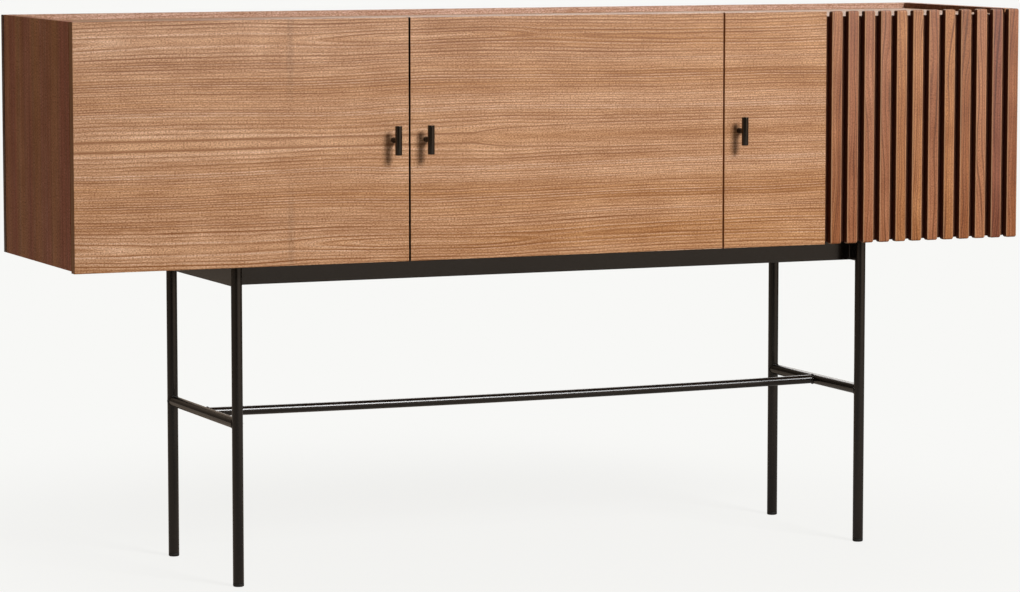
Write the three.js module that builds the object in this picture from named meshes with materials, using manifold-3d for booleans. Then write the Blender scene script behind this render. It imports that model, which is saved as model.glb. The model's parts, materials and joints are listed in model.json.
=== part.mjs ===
// Office credenza: a veneered three-door box, with slats on its right door, on a slim steel frame.
// Millimetres, +Z up, doors towards -Y. The origin is on the floor, under the middle of the whole object.
import * as THREE from "three";
import { mergeVertices } from "three/addons/utils/BufferGeometryUtils.js";
import Module from "manifold-3d";

// Box of veneered boards
const WIDTH = 1800; // end to end
const DEPTH = 412; // door fronts to the rear face
const HEIGHT = 970; // floor to rim
const BOARD = 19; // veneered board of the case and the doors
const TRAY_LIP = 10; // rim above the top board
const BACK_BOARD = 12; // back panel at its rim
const BACK_REVEAL = 3; // shadow gap between the back panel's rim and the ends
const EASE = 1; // rounding along a board's edges
const GLUE_LINE = 0.2; // clearance left at every joint

// Shelves
const SHELF_CLEAR = 174; // clear height under a shelf
const SHELF_SETBACK = 20; // shelf front behind the case front

// Doors
const DOOR_COUNT = 3;
const DOOR_HEIGHT = 418;
const DOOR_DROP = 3; // how far the doors reach below the case
const DOOR_GAP = 3; // between two doors
const DOOR_STANDOFF = 2; // door backs in front of the case

// Slatted part of the right door
const SLAT_COUNT = 12;
const SLAT_WIDTH = 22;
const SLAT_GAP = 11;
const SLAT_ROUND = 1.6; // rounding along a slat's edges
const BACKING = 5; // black board behind the slats
const BACKING_LAP = 30; // how far it is let into the veneered part

// Bar handles
const HANDLE_LENGTH = 50;
const HANDLE_RADIUS = 6;
const HANDLE_CHAMFER = 0.8;
const HANDLE_POST_RADIUS = 5;
const HANDLE_STANDOFF = 24; // bar axis in front of the door
const HANDLE_INSET = 28.5; // bar axis from the door's free edge
const HANDLE_SEAT = 4; // depth of the drilled seat that takes the post

// Concealed hinges
const HINGE_INSET = 80; // hinge centres from a door's top and bottom
const CUP_RADIUS = 17.5; // bore in the door
const CUP_DEPTH = 13;
const CUP_WALL = 1.2;
const CUP_OFFSET = 3.5; // cup centre past the end board's inner face
const FLANGE_LENGTH = 56; // cup flange, upright
const FLANGE_WIDTH = 22;
const FLANGE_THICKNESS = 1.2;
const ARM_WIDTH = 14; // upright width of the arm
const ARM_TIP = 8; // thickness of the arm's tip
const ARM_REACH = 6; // how far the tip enters the cup
const ARM_REAR = 63; // arm's rear end behind the case front
const CRANK_FRONT = 9; // the arm's bend, from here
const CRANK_REAR = 24; // to here behind the case front
const PLATE_LENGTH = 44; // mounting plate, front to rear
const PLATE_WIDTH = 40; // upright
const PLATE_THICKNESS = 2.5;
const SCREW_PLATE_LENGTH = 40; // plate on the slatted door, across the slats
const SCREW_PLATE_THICKNESS = 2;
const LUG_LENGTH = 16; // cheeks on that plate, either side of the arm's tip
const LUG_HEIGHT = 12;
const LUG_THICKNESS = 2;
const LUG_CLEARANCE = 0.6;

// Steel frame
const TUBE_RADIUS = 9.5; // legs and side stretchers
const TUBE_WALL = 1.5;
const LEG_INSET_X = 300; // leg axes from the ends of the box
const LEG_INSET_Y = 24; // leg axes from the front and the rear of the case
const RAIL_HEIGHT = 40; // flat bars under the box
const RAIL_THICKNESS = 8;
const RAIL_SETBACK = 33; // long rails' outer faces behind the leg axes
const TAB_SIZE = 30; // screw tabs on the long rails
const TAB_THICKNESS = 4;
const TAB_HOLE_RADIUS = 3.25;
const TAB_COUNT = 3; // on each long rail
const STRETCHER_HEIGHT = 280; // stretcher axes above the floor
const ROD_RADIUS = 8; // long stretcher
const COPE_GAP = 0.3; // clearance where a bar's end is shaped to a tube
const GLIDE_HEIGHT = 6;
const GLIDE_CHAMFER = 1.5;
const GLIDE_STEM = 18; // length of the plug in the tube
const GLIDE_CLEARANCE = 0.3;

const ROUND = 32; // sides of a round bar
const EASE_STEPS = 2; // facets of an eased edge
const FLANGE_STEPS = 6; // facets of a rounded corner on a hinge flange

// Levels from the floor
const doorBottom = HEIGHT - DOOR_HEIGHT;
const caseBottom = doorBottom + DOOR_DROP;
const floorTop = caseBottom + BOARD; // upper face of the bottom board
const topFace = HEIGHT - TRAY_LIP;
const ceiling = topFace - BOARD; // lower face of the top board
const shelfBottom = floorTop + SHELF_CLEAR;
const hingeLevels = { lower: doorBottom + HINGE_INSET, upper: HEIGHT - HINGE_INSET };

// Planes from front to rear: the handles reach out in front of the doors
const handleReach = HANDLE_STANDOFF + HANDLE_RADIUS;
const doorFront = handleReach - (DEPTH + handleReach) / 2;
const caseFront = doorFront + BOARD + DOOR_STANDOFF;
const rearFace = doorFront + DEPTH;
const caseRear = rearFace - BACK_BOARD - BACK_REVEAL;
const caseDepth = caseRear - caseFront;
const caseMiddle = (caseFront + caseRear) / 2;

// Planes from left to right
const halfWidth = WIDTH / 2;
const endInner = halfWidth - BOARD;
const doorPitch = WIDTH / DOOR_COUNT;
const dividerX = doorPitch / 2;
const doorWidth = doorPitch - DOOR_GAP;
const edgeTrim = DOOR_GAP / 2; // an end door is wider by this at its outer edge

const wasm = await Module();
wasm.setup();

const materials = {
  veneer: new THREE.MeshStandardMaterial({ color: 0xbe9373, roughness: 0.5 }),
  slat: new THREE.MeshStandardMaterial({ color: 0xb07d5c, roughness: 0.5 }),
  blackBoard: new THREE.MeshStandardMaterial({ color: 0x1c130d, roughness: 0.8 }),
  blackSteel: new THREE.MeshStandardMaterial({ color: 0x23211e, roughness: 0.45, metalness: 0.4 }),
  platedSteel: new THREE.MeshStandardMaterial({ color: 0x9c9c9a, roughness: 0.35, metalness: 1 }),
  blackPlastic: new THREE.MeshStandardMaterial({ color: 0x141414, roughness: 0.6 }),
};

// A closed three.js geometry as a solid that can be joined and cut
function toSolid(geometry) {
  const bare = geometry.clone();
  bare.deleteAttribute("normal");
  bare.deleteAttribute("uv");
  const merged = mergeVertices(bare);
  const vertProperties = new Float32Array(merged.attributes.position.array);
  const triVerts = new Uint32Array(merged.index.array);
  return new wasm.Manifold(new wasm.Mesh({ numProp: 3, vertProperties, triVerts }));
}

function toGeometry(solid) {
  const { vertProperties, triVerts } = solid.getMesh();
  const geometry = new THREE.BufferGeometry();
  geometry.setAttribute("position", new THREE.BufferAttribute(vertProperties, 3));
  geometry.setIndex(new THREE.BufferAttribute(triVerts, 1));
  geometry.computeVertexNormals();
  return geometry;
}

function join(...parts) {
  return toGeometry(parts.map(toSolid).reduce((whole, part) => whole.add(part)));
}

function cut(body, ...tools) {
  return toGeometry([body, ...tools].map(toSolid).reduce((rest, tool) => rest.subtract(tool)));
}

function place(parent, name, geometry, material, x = 0, y = 0, z = 0) {
  const mesh = new THREE.Mesh(geometry, material);
  mesh.name = name;
  mesh.position.set(x, y, z);
  parent.add(mesh);
}

function group(parent, x = 0, y = 0, z = 0) {
  const child = new THREE.Group();
  child.position.set(x, y, z);
  parent.add(child);
  return child;
}

// A block between any two opposite corners
function block(corner, opposite) {
  const size = corner.map((value, axis) => Math.abs(value - opposite[axis]));
  const centre = corner.map((value, axis) => (value + opposite[axis]) / 2);
  return new THREE.BoxGeometry(...size).translate(...centre);
}

// A rectangle with round corners
function roundedRectangle(width, height, radius) {
  const [x, y] = [width / 2, height / 2];
  const shape = new THREE.Shape();
  shape.absarc(x - radius, y - radius, radius, 0, Math.PI / 2);
  shape.absarc(radius - x, y - radius, radius, Math.PI / 2, Math.PI);
  shape.absarc(radius - x, radius - y, radius, Math.PI, Math.PI * 1.5);
  shape.absarc(x - radius, radius - y, radius, Math.PI * 1.5, Math.PI * 2);
  return shape;
}

// An outline extruded upwards, with both ends eased
function easedExtrusion(shape, height) {
  const options = {
    depth: height - 2 * EASE,
    bevelThickness: EASE,
    bevelSize: EASE,
    bevelOffset: -EASE,
    bevelSegments: EASE_STEPS,
    curveSegments: EASE_STEPS,
  };
  return new THREE.ExtrudeGeometry(shape, options).translate(0, 0, EASE);
}

// A flat extrusion along Z, between two square ends
function plainExtrusion(shape, depth) {
  return new THREE.ExtrudeGeometry(shape, { depth, bevelEnabled: false, curveSegments: FLANGE_STEPS });
}

// An upright board with eased edges: corner at the origin, face across and up, thickness towards +Y
function easedBoard(width, height) {
  const corners = [[0, 0], [width, 0], [width, height], [0, height]];
  const outline = new THREE.Shape(corners.map(([x, y]) => new THREE.Vector2(x, y)));
  return easedExtrusion(outline, BOARD).rotateX(Math.PI / 2).translate(0, BOARD, 0);
}

// A round bar along one axis, centred on the origin
function bar(radius, length, axis) {
  const geometry = new THREE.CylinderGeometry(radius, radius, length, ROUND);
  if (axis === "x") geometry.rotateZ(Math.PI / 2);
  if (axis === "z") geometry.rotateX(Math.PI / 2);
  return geometry;
}

// A profile of [radius, height] points turned round the Z axis
function turned(profile) {
  const points = profile.map(([radius, height]) => new THREE.Vector2(radius, height));
  return new THREE.LatheGeometry(points, ROUND).rotateX(Math.PI / 2);
}

// An upright tube, open at both ends, standing on the origin
function tube(radius, wall, length) {
  const bore = radius - wall;
  return turned([[bore, 0], [radius, 0], [radius, length], [bore, length], [bore, 0]]);
}

const credenza = new THREE.Group();

// Case: two ends, top, bottom and two dividers, closed by a back panel that stands off the ends
function buildCase() {
  const body = group(credenza);
  const endHeight = HEIGHT - caseBottom;
  const end = easedBoard(caseDepth, endHeight).rotateZ(Math.PI / 2);
  place(body, "left_end", end, materials.veneer, BOARD - halfWidth, caseFront, caseBottom);
  place(body, "right_end", end, materials.veneer, halfWidth, caseFront, caseBottom);

  const span = 2 * (endInner - GLUE_LINE);
  const flat = new THREE.BoxGeometry(span, caseDepth, BOARD);
  place(body, "top_board", flat, materials.veneer, 0, caseMiddle, topFace - BOARD / 2);
  place(body, "bottom_board", flat, materials.veneer, 0, caseMiddle, caseBottom + BOARD / 2);

  const upright = new THREE.BoxGeometry(BOARD, caseDepth, ceiling - floorTop - 2 * GLUE_LINE);
  const middle = (floorTop + ceiling) / 2;
  place(body, "left_divider", upright, materials.veneer, -dividerX, caseMiddle, middle);
  place(body, "right_divider", upright, materials.veneer, dividerX, caseMiddle, middle);
  place(body, "back_panel", backPanel(endHeight), materials.veneer, 0, caseRear, caseBottom);
  buildShelves(body);
  buildHingeArms(body);
}

// The back panel's middle is thicker, so that its rim leaves a shadow gap behind the ends
function backPanel(height) {
  const field = endInner - GLUE_LINE;
  const thickness = BACK_REVEAL + BACK_BOARD;
  const plan = new THREE.Shape();
  plan.moveTo(-field, GLUE_LINE);
  plan.lineTo(field, GLUE_LINE);
  plan.lineTo(field, BACK_REVEAL);
  plan.lineTo(halfWidth, BACK_REVEAL);
  plan.lineTo(halfWidth, thickness);
  plan.lineTo(-halfWidth, thickness);
  plan.lineTo(-halfWidth, BACK_REVEAL);
  plan.lineTo(-field, BACK_REVEAL);
  return easedExtrusion(plan, height);
}

// One shelf in each bay, fixed between its two uprights
function buildShelves(body) {
  const near = dividerX - BOARD / 2;
  const far = dividerX + BOARD / 2;
  const bays = { left: [-endInner, -far], middle: [-near, near], right: [far, endInner] };
  for (const [bay, [from, to]] of Object.entries(bays)) {
    const frontCorner = [from + GLUE_LINE, caseFront + SHELF_SETBACK, shelfBottom];
    const rearCorner = [to - GLUE_LINE, caseRear, shelfBottom + BOARD];
    place(body, `${bay}_shelf`, block(frontCorner, rearCorner), materials.veneer);
  }
}

// Doors. Each hangs on an upright axis at its outer front corner, and runs from there to its free edge.
// Facing says which way that is: 1 to the right, -1 to the left.
const cupCentre = BOARD + CUP_OFFSET;
const hinges = {
  left: { axis: -halfWidth, facing: 1, width: doorWidth + edgeTrim, overlay: BOARD },
  middle: { axis: dividerX - edgeTrim, facing: -1, width: doorWidth, overlay: BOARD / 2 - edgeTrim },
  right: { axis: halfWidth, facing: -1, width: doorWidth + edgeTrim, overlay: BOARD },
};
const slatZone = SLAT_COUNT * (SLAT_WIDTH + SLAT_GAP);
const backingFront = BOARD - BACKING; // behind the door's front

function buildDoors() {
  for (const [name, hinge] of Object.entries(hinges)) {
    const leaf = group(credenza, hinge.axis, doorFront, doorBottom);
    if (name === "right") {
      buildSlattedLeaf(leaf, hinge);
    } else {
      buildPlainLeaf(leaf, name, hinge);
    }
    buildHandle(leaf, name, hinge);
  }
}

// A geometry that starts at x = 0, laid from the hinge axis towards the free edge
function fromAxis(geometry, hinge, start, width) {
  return geometry.translate(hinge.facing > 0 ? start : -start - width, 0, 0);
}

function buildPlainLeaf(leaf, name, hinge) {
  const centre = hinge.facing * cupCentre;
  const bores = Object.values(hingeLevels).map((level) => {
    const depth = 2 * CUP_DEPTH; // half of the tool stands out behind the door
    return bar(CUP_RADIUS, depth, "y").translate(centre, BOARD, level - doorBottom);
  });
  const panel = cut(fromAxis(easedBoard(hinge.width, DOOR_HEIGHT), hinge, 0, hinge.width), ...bores);
  place(leaf, `${name}_door_panel`, panel, materials.veneer);
  const cup = hingeCup();
  for (const [side, level] of Object.entries(hingeLevels)) {
    place(leaf, `${name}_${side}_hinge_cup`, cup, materials.platedSteel, centre, BOARD, level - doorBottom);
  }
}

// The right door: a veneered part at its free edge, and upright slats on a thin black backing
function buildSlattedLeaf(leaf, hinge) {
  const plainWidth = hinge.width - slatZone;
  const rebate = block([0, backingFront - GLUE_LINE, -BOARD], [BACKING_LAP, 2 * BOARD, DOOR_HEIGHT + BOARD]);
  const panel = fromAxis(easedBoard(plainWidth, DOOR_HEIGHT), hinge, slatZone, plainWidth);
  const lap = fromAxis(rebate, hinge, slatZone, BACKING_LAP);
  place(leaf, "right_door_panel", cut(panel, lap), materials.veneer);

  const backingWidth = slatZone + BACKING_LAP - GLUE_LINE;
  const backing = block([0, backingFront, DOOR_DROP], [backingWidth, BOARD, DOOR_HEIGHT - TRAY_LIP]);
  place(leaf, "right_door_backing", fromAxis(backing, hinge, 0, backingWidth), materials.blackBoard);

  const slatDepth = backingFront - GLUE_LINE;
  const slat = easedExtrusion(roundedRectangle(SLAT_WIDTH, slatDepth, SLAT_ROUND), DOOR_HEIGHT);
  for (let index = 0; index < SLAT_COUNT; index += 1) {
    const fromHinge = SLAT_WIDTH / 2 + (SLAT_COUNT - 1 - index) * (SLAT_WIDTH + SLAT_GAP);
    const number = String(index + 1).padStart(2, "0");
    place(leaf, `slat_${number}`, slat, materials.slat, hinge.facing * fromHinge, slatDepth / 2, 0);
  }
  const plate = screwPlate(hinge.facing);
  for (const [side, level] of Object.entries(hingeLevels)) {
    place(leaf, `right_${side}_hinge_plate`, plate, materials.platedSteel, 0, BOARD, level - doorBottom);
  }
}

// A bar on one post. The post stands on the door and ends in a seat drilled into the bar
function buildHandle(leaf, name, hinge) {
  const x = hinge.facing * (hinge.width - HANDLE_INSET);
  const z = DOOR_HEIGHT / 2;
  const half = HANDLE_LENGTH / 2;
  const tip = HANDLE_RADIUS - HANDLE_CHAMFER;
  const shoulder = half - HANDLE_CHAMFER;
  const stick = turned([
    [0, -half],
    [tip, -half],
    [HANDLE_RADIUS, -shoulder],
    [HANDLE_RADIUS, shoulder],
    [tip, half],
    [0, half],
  ]);
  const seatFloor = HANDLE_RADIUS - HANDLE_SEAT; // behind the bar's axis
  const drill = bar(HANDLE_POST_RADIUS + GLUE_LINE, HANDLE_RADIUS, "y");
  const seat = drill.translate(0, seatFloor + HANDLE_RADIUS / 2, 0);
  place(leaf, `${name}_handle_bar`, cut(stick, seat), materials.blackSteel, x, -HANDLE_STANDOFF, z);

  const postLength = HANDLE_STANDOFF - seatFloor - 2 * GLUE_LINE;
  const post = bar(HANDLE_POST_RADIUS, postLength, "y");
  place(leaf, `${name}_handle_post`, post, materials.blackSteel, x, -GLUE_LINE - postLength / 2, z);
}

// A pressed cup with a flange on the door's back. The cup's mouth is at y = 0, and its floor lies towards -Y
function hingeCup() {
  const outer = CUP_RADIUS - GLUE_LINE;
  const bottom = CUP_DEPTH - GLUE_LINE;
  const top = GLUE_LINE + FLANGE_THICKNESS;
  const shell = bar(outer, bottom + top, "y").translate(0, (top - bottom) / 2, 0);
  const outline = roundedRectangle(FLANGE_WIDTH, FLANGE_LENGTH, FLANGE_WIDTH / 4);
  const flange = plainExtrusion(outline, FLANGE_THICKNESS).rotateX(Math.PI / 2).translate(0, top, 0);
  const hollow = bar(outer - CUP_WALL, bottom + top, "y").translate(0, (top - bottom) / 2 + CUP_WALL, 0);
  return cut(join(shell, flange), hollow);
}

// The backing has no depth for a cup, so a plate is screwed to it, with two cheeks beside the arm's tip
function screwPlate(facing) {
  const start = facing * cupCentre;
  const base = GLUE_LINE + SCREW_PLATE_THICKNESS;
  const half = FLANGE_LENGTH / 2;
  const plate = block([start, GLUE_LINE, -half], [start + facing * SCREW_PLATE_LENGTH, base, half]);
  const inner = ARM_WIDTH / 2 + LUG_CLEARANCE;
  const outer = inner + LUG_THICKNESS;
  const lugs = [-1, 1].map((side) => {
    const far = [start + facing * LUG_LENGTH, base + LUG_HEIGHT, side * outer];
    return block([start, GLUE_LINE, side * inner], far);
  });
  return join(plate, ...lugs);
}

// Hinge arms on the uprights, in the doors' own places: x from the hinge axis, y from the door's front
function buildHingeArms(body) {
  for (const [name, hinge] of Object.entries(hinges)) {
    const inCup = BOARD - ARM_REACH;
    const overPlate = BOARD + GLUE_LINE + SCREW_PLATE_THICKNESS + LUG_CLEARANCE;
    const arm = hingeArm(hinge, name === "right" ? overPlate : inCup);
    for (const [side, level] of Object.entries(hingeLevels)) {
      place(body, `${name}_${side}_hinge_arm`, arm, materials.platedSteel, hinge.axis, doorFront, level);
    }
  }
}

// A mounting plate on the upright, and an arm that bends from it to the middle of the cup
function hingeArm(hinge, tipEnd) {
  const front = BOARD + DOOR_STANDOFF; // the case front
  const seat = hinge.overlay + GLUE_LINE;
  const plateTop = seat + PLATE_THICKNESS;
  const root = plateTop - PLATE_THICKNESS / 2; // the arm is sunk into the plate by half
  const outline = [
    [root, front + ARM_REAR],
    [root, front + CRANK_REAR],
    [cupCentre, front + CRANK_FRONT],
    [cupCentre, tipEnd],
    [cupCentre + ARM_TIP, tipEnd],
    [cupCentre + ARM_TIP, front + CRANK_FRONT + ARM_TIP / 2],
    [plateTop + ARM_TIP, front + CRANK_REAR + ARM_TIP / 2],
    [plateTop + ARM_TIP, front + ARM_REAR],
  ];
  const points = outline.map(([across, inward]) => new THREE.Vector2(hinge.facing * across, inward));
  const arm = plainExtrusion(new THREE.Shape(points), ARM_WIDTH).translate(0, 0, -ARM_WIDTH / 2);
  const rear = front + ARM_REAR;
  const near = [hinge.facing * seat, rear - PLATE_LENGTH, -PLATE_WIDTH / 2];
  const plate = block(near, [hinge.facing * plateTop, rear, PLATE_WIDTH / 2]);
  return join(plate, arm);
}

// Frame: four tube legs, flat rails under the box, and an H of stretchers
function buildFrame() {
  const frame = group(credenza);
  const legX = halfWidth - LEG_INSET_X;
  const legY = { front: caseFront + LEG_INSET_Y, rear: rearFace - LEG_INSET_Y };
  const frameTop = caseBottom - GLUE_LINE;
  const railMiddle = frameTop - RAIL_HEIGHT / 2;
  const run = legY.rear - legY.front;
  const middleY = (legY.rear + legY.front) / 2;
  const glide = footGlide();
  const leg = tube(TUBE_RADIUS, TUBE_WALL, frameTop - GLIDE_HEIGHT - GLUE_LINE);
  const copeTool = (axis) => bar(TUBE_RADIUS + COPE_GAP, 2 * RAIL_HEIGHT, axis);
  const legCopes = [-1, 1].map((end) => copeTool("z").translate(0, (end * run) / 2, 0));
  const sideRail = cut(new THREE.BoxGeometry(RAIL_THICKNESS, run, RAIL_HEIGHT), ...legCopes);
  const sideTube = tube(TUBE_RADIUS, TUBE_WALL, run).rotateX(Math.PI / 2).translate(0, run / 2, 0);
  const sideStretcher = cut(sideTube, ...legCopes);

  for (const [side, x] of Object.entries({ left: -legX, right: legX })) {
    for (const [end, y] of Object.entries(legY)) {
      place(frame, `${end}_${side}_leg`, leg, materials.blackSteel, x, y, GLIDE_HEIGHT + GLUE_LINE);
      place(frame, `${end}_${side}_glide`, glide, materials.blackPlastic, x, y, 0);
    }
    place(frame, `${side}_side_rail`, sideRail, materials.blackSteel, x, middleY, railMiddle);
    place(frame, `${side}_stretcher`, sideStretcher, materials.blackSteel, x, middleY, STRETCHER_HEIGHT);
  }

  const railLength = 2 * (legX - RAIL_THICKNESS / 2 - GLUE_LINE);
  const railOffset = RAIL_SETBACK + RAIL_THICKNESS / 2;
  const frontRail = longRail(railLength);
  const rearRail = frontRail.clone().rotateZ(Math.PI);
  place(frame, "front_long_rail", frontRail, materials.blackSteel, 0, legY.front + railOffset, railMiddle);
  place(frame, "rear_long_rail", rearRail, materials.blackSteel, 0, legY.rear - railOffset, railMiddle);

  const rod = bar(ROD_RADIUS, 2 * legX, "x");
  const rodCopes = [-1, 1].map((end) => copeTool("y").translate(end * legX, 0, 0));
  place(frame, "long_stretcher", cut(rod, ...rodCopes), materials.blackSteel, 0, middleY, STRETCHER_HEIGHT);
}

// A flat bar on edge, with drilled tabs along its inner upper edge that screw to the box
function longRail(length) {
  const web = new THREE.BoxGeometry(length, RAIL_THICKNESS, RAIL_HEIGHT);
  const top = RAIL_HEIGHT / 2;
  const tabPitch = length / TAB_COUNT;
  const tabs = [];
  const holes = [];
  for (let index = 0; index < TAB_COUNT; index += 1) {
    const x = (index + 0.5) * tabPitch - length / 2;
    const reach = RAIL_THICKNESS / 2 + TAB_SIZE;
    tabs.push(block([x - TAB_SIZE / 2, 0, top - TAB_THICKNESS], [x + TAB_SIZE / 2, reach, top]));
    holes.push(bar(TAB_HOLE_RADIUS, 4 * TAB_THICKNESS, "z").translate(x, reach - TAB_SIZE / 2, top));
  }
  return cut(join(web, ...tabs), ...holes);
}

// A plastic foot that plugs into the leg's open end
function footGlide() {
  const plug = TUBE_RADIUS - TUBE_WALL - GLIDE_CLEARANCE;
  return turned([
    [0, 0],
    [TUBE_RADIUS - GLIDE_CHAMFER, 0],
    [TUBE_RADIUS, GLIDE_CHAMFER],
    [TUBE_RADIUS, GLIDE_HEIGHT],
    [plug, GLIDE_HEIGHT],
    [plug, GLIDE_HEIGHT + GLIDE_STEM],
    [0, GLIDE_HEIGHT + GLIDE_STEM],
  ]);
}

buildCase();
buildDoors();
buildFrame();

export default credenza;
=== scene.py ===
# %% [markdown]
# # Office credenza
# A long walnut cabinet with three hinged doors, the right one slatted, stands on a slim black steel
# frame. The boards, doors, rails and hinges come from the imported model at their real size, and only get
# their finishes here. Slats, round bars, feet, welds and small fasteners are made new, as smooth surfaces
# that are worked out with numpy. Everything is in metres, with +Z up and the doors towards -Y.

# %% Load the frame
import json
from functools import partial
from math import pi, radians

import bpy
import numpy as np
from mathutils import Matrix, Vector


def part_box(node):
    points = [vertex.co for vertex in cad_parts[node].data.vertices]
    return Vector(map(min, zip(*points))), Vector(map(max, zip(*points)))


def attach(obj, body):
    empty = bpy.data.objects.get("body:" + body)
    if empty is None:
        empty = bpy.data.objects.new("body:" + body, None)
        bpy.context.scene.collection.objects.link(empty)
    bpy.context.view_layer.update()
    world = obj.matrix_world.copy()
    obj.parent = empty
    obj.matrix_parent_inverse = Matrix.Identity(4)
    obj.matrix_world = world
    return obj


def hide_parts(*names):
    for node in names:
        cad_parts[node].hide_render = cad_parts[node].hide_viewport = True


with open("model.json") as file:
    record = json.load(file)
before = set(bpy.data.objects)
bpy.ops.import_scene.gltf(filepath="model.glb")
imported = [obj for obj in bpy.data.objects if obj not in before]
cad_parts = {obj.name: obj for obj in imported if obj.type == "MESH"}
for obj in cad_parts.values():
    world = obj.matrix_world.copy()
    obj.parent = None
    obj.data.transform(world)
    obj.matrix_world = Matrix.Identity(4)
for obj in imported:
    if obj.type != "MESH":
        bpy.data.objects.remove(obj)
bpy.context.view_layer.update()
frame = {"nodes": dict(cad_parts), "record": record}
nodes = frame["nodes"]
subparts = frame["record"]["subparts"]
MM = 0.001

# %% [markdown]
# ## Camera
# The place of the camera was worked out from the straight edges of the box, the gaps between the doors
# and the feet. It stands to the left of the middle, a little above the rim, far away with a long lens, so
# the long lines hardly converge. An ordinary perspective camera with no shift gives that view.

# %% Camera
CAMERA_PLACE = (-2.8986, -6.6122, 1.2017)
CAMERA_TURN = -23.4527  # degrees about the upright axis: negative looks from the left
CAMERA_DROP = 5.854  # degrees below the horizon
LENS = 142.92  # millimetres, on a sensor 36 mm wide

lens = bpy.data.cameras.new("camera")
lens.sensor_fit = "HORIZONTAL"
lens.sensor_width = 36
lens.lens = LENS
camera = bpy.data.objects.new("camera", lens)
camera.location = CAMERA_PLACE
camera.rotation_euler = (radians(90 - CAMERA_DROP), 0, radians(CAMERA_TURN))
bpy.context.scene.collection.objects.link(camera)
bpy.context.scene.camera = camera
bpy.context.scene.view_settings.view_transform = "Standard"
print("camera at", CAMERA_PLACE, "with a lens of", LENS, "mm")

# %% [markdown]
# ## Helpers for finishes
# Colours are written as sRGB hex values, as a paint chart gives them, but the renderer works with linear
# light, so one function converts them. Another adds one node to a node tree and links it: every finish
# below is a list of such calls, from the place on the object to the shader.


# %% Helpers for finishes
def linear(code):
    """An sRGB hex colour as linear red, green, blue and alpha: the sRGB curve undone, channel by channel."""
    channels = np.array([int(code[i : i + 2], 16) / 255 for i in (0, 2, 4)])
    light = np.where(channels <= 0.04045, channels / 12.92, ((channels + 0.055) / 1.055) ** 2.4)
    return (*light.tolist(), 1.0)


def add(tree, kind, inputs=(), **settings):
    """Adds a node. Inputs are a list for its sockets in order, or a dict by name or number. Each is a
    value, a node, for its first output, or a pair of a node and an output. Settings are the node's
    properties, and ramp is a list of places and grey levels."""
    node = tree.nodes.new("ShaderNode" + kind)
    for number, (place, level) in enumerate(settings.pop("ramp", ())):
        stops = node.color_ramp.elements
        stop = stops[number] if number < 2 else stops.new(place)
        stop.position = place
        stop.color = (level, level, level, 1.0)
    for key, value in settings.items():
        setattr(node, key, value)
    pairs = inputs.items() if isinstance(inputs, dict) else enumerate(inputs)
    for key, value in pairs:
        if isinstance(value, bpy.types.Node):
            tree.links.new(value.outputs[0], node.inputs[key])
        elif isinstance(value, tuple) and isinstance(value[0], bpy.types.Node):
            tree.links.new(value[0].outputs[value[1]], node.inputs[key])
        else:
            node.inputs[key].default_value = value
    return node


def material(name):
    """A new material with an empty node tree, and the function above tied to that tree."""
    made = bpy.data.materials.new(name)
    made.use_nodes = True
    made.node_tree.nodes.clear()
    return made, partial(add, made.node_tree)


print("mid grey in linear light:", round(linear("808080")[0], 3))

# %% [markdown]
# ## Lamps
# One large soft lamp in front, to the right and above, makes nearly all the light on the doors and leaves
# the left end in deep shade. A weaker one behind keeps the back readable. A panel further to the right
# only shows in shiny surfaces, as the long highlights on the bars, so it is hidden from matt ones.

# %% Lamps
LAMPS = {
    # name: place, size in metres, power in watts, and whether it lights matt surfaces
    "key_lamp": ((2.25, -6.2, 4.8), 2.3, 540, True),
    "shine_panel": ((4.2, -5.6, 4.3), 1.8, 180, False),
    "rear_lamp": ((2.2, 4.2, 2.6), 2.4, 46, True),
}
LAMP_AIM = Vector((0, 0, 0.7))

for name, (place, size, power, lights) in LAMPS.items():
    light = bpy.data.lights.new(name, "AREA")
    light.size = size
    light.energy = power
    lamp = bpy.data.objects.new(name, light)
    lamp.location = place
    lamp.rotation_euler = (LAMP_AIM - Vector(place)).to_track_quat("-Z", "Y").to_euler()
    lamp.visible_camera = False
    lamp.visible_diffuse = lights
    bpy.context.scene.collection.objects.link(lamp)
print("lamps:", list(LAMPS))

# %% [markdown]
# ## Room
# The world is a dim, warm room with a pale wall on the left, which fills the shade there. To the camera
# its backdrop is white. In shiny surfaces the backdrop is dimmer and stays on its own side, because black
# bars look grey when the whole room is white. A low window in front, to the right, shows only in such
# surfaces: upright tubes mirror the horizon, so it draws their highlight.

# %% Room
BACKDROP = linear("f8f8f6")
BACKDROP_SIDE = (0.45, 0.88, 0.13)  # the direction of its middle
MIRRORED_BACKDROP = 0.4  # how much of its light shows in reflections
ROOM_TINT = linear("ffe4ca")
ROOM_LEVEL = 0.05  # light from the dim room all round
WALL_LEVEL = 0.36  # and from the pale wall on the left
WALL_SIDE = (-1.0, 0.0, 0.0)
WINDOW_LEVEL = 0.85
WINDOW_SIDE = (0.545, -0.839, 0.0)

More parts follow.
